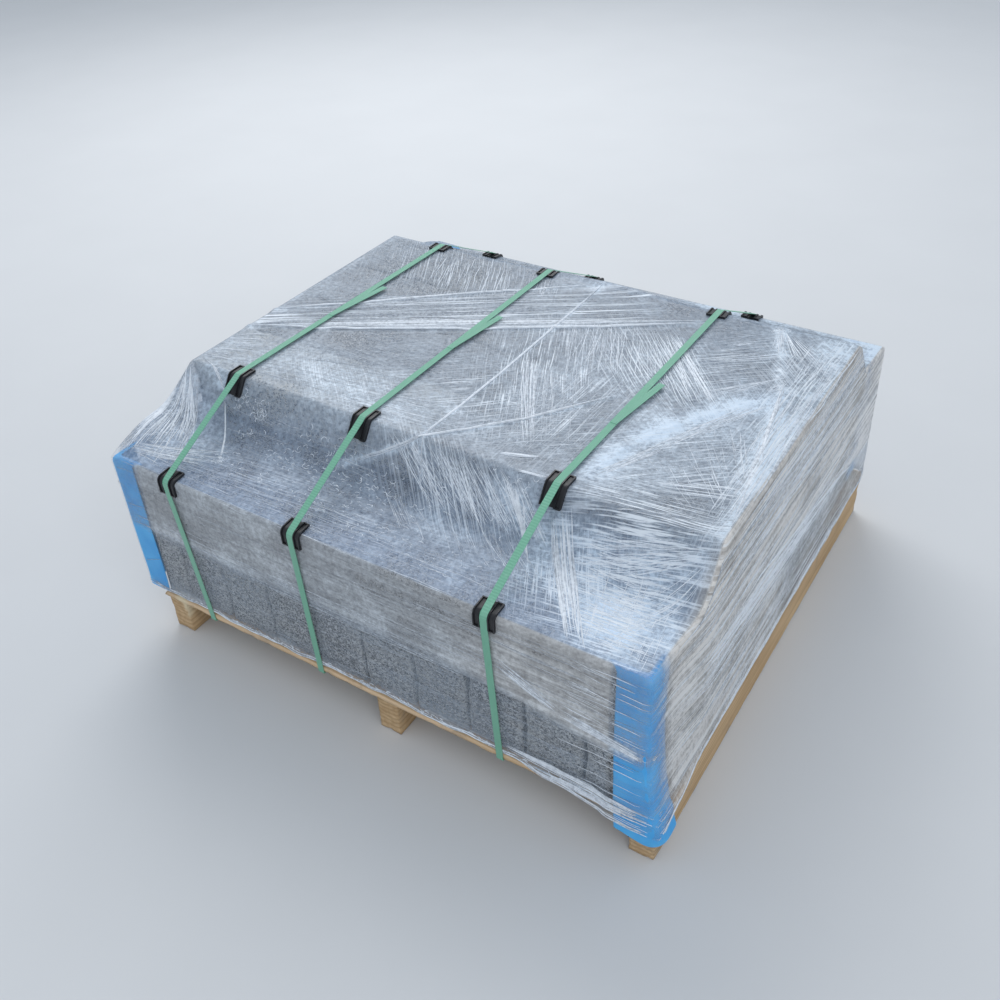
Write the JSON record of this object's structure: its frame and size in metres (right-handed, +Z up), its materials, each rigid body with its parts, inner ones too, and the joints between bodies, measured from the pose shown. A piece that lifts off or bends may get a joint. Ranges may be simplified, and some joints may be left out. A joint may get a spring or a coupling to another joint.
{
  "type": "pallet of granite kerbs",
  "caption": "Square stack of granite kerbs with a narrower top tier on a timber pallet, wrapped in stretch film, strapped over edge protectors, with corner guards.",
  "frame": {"origin": "middle of the footprint, at floor level", "axes": "+Z up, +X along the bottom kerbs' row from left to right, -Y the front that the forks enter"},
  "size_m": [1.0818, 1.0292, 0.5071],
  "materials": {
    "granite": "sawn and bush hammered, speckled grey",
    "bearer_timber": "rough sawn softwood",
    "deck_timber": "rough sawn softwood",
    "guard_foam": "smooth soft foam, light blue",
    "film": "clear stretched film with pale streaks",
    "protector_plastic": "black moulded plastic",
    "strap_band": "embossed green polyester band"
  },
  "bodies": {
    "root": {"base_kerb_01": "granite", "base_kerb_02": "granite", "base_kerb_03": "granite", "base_kerb_04": "granite", "base_kerb_05": "granite", "base_kerb_06": "granite", "base_kerb_07": "granite", "base_kerb_08": "granite", "base_kerb_09": "granite", "base_kerb_10": "granite", "bearer_left": "bearer_timber", "bearer_middle": "bearer_timber", "bearer_right": "bearer_timber", "corner_guard_back_left": "guard_foam", "corner_guard_back_right": "guard_foam", "corner_guard_front_left": "guard_foam", "corner_guard_front_right": "guard_foam", "deck_board_01": "deck_timber", "deck_board_02": "deck_timber", "deck_board_03": "deck_timber", "deck_board_04": "deck_timber", "deck_board_05": "deck_timber", "deck_board_06": "deck_timber", "deck_board_07": "deck_timber", "deck_board_08": "deck_timber", "middle_row_01": "granite", "middle_row_02": "granite", "middle_row_03": "granite", "middle_row_04": "granite", "middle_row_05": "granite", "middle_row_06": "granite", "middle_row_07": "granite", "middle_row_08": "granite", "middle_row_09": "granite", "middle_row_10": "granite", "protector_left_back_high": "protector_plastic", "protector_left_back_low": "protector_plastic", "protector_left_front_high": "protector_plastic", "protector_left_front_low": "protector_plastic", "protector_middle_back_high": "protector_plastic", "protector_middle_back_low": "protector_plastic", "protector_middle_front_high": "protector_plastic", "protector_middle_front_low": "protector_plastic", "protector_right_back_high": "protector_plastic", "protector_right_back_low": "protector_plastic", "protector_right_front_high": "protector_plastic", "protector_right_front_low": "protector_plastic", "strap_left": "strap_band", "strap_middle": "strap_band", "strap_right": "strap_band", "stretch_film": "film", "top_kerb_01": "granite", "top_kerb_02": "granite", "top_kerb_03": "granite", "top_kerb_04": "granite"}
  },
  "joints": []
}
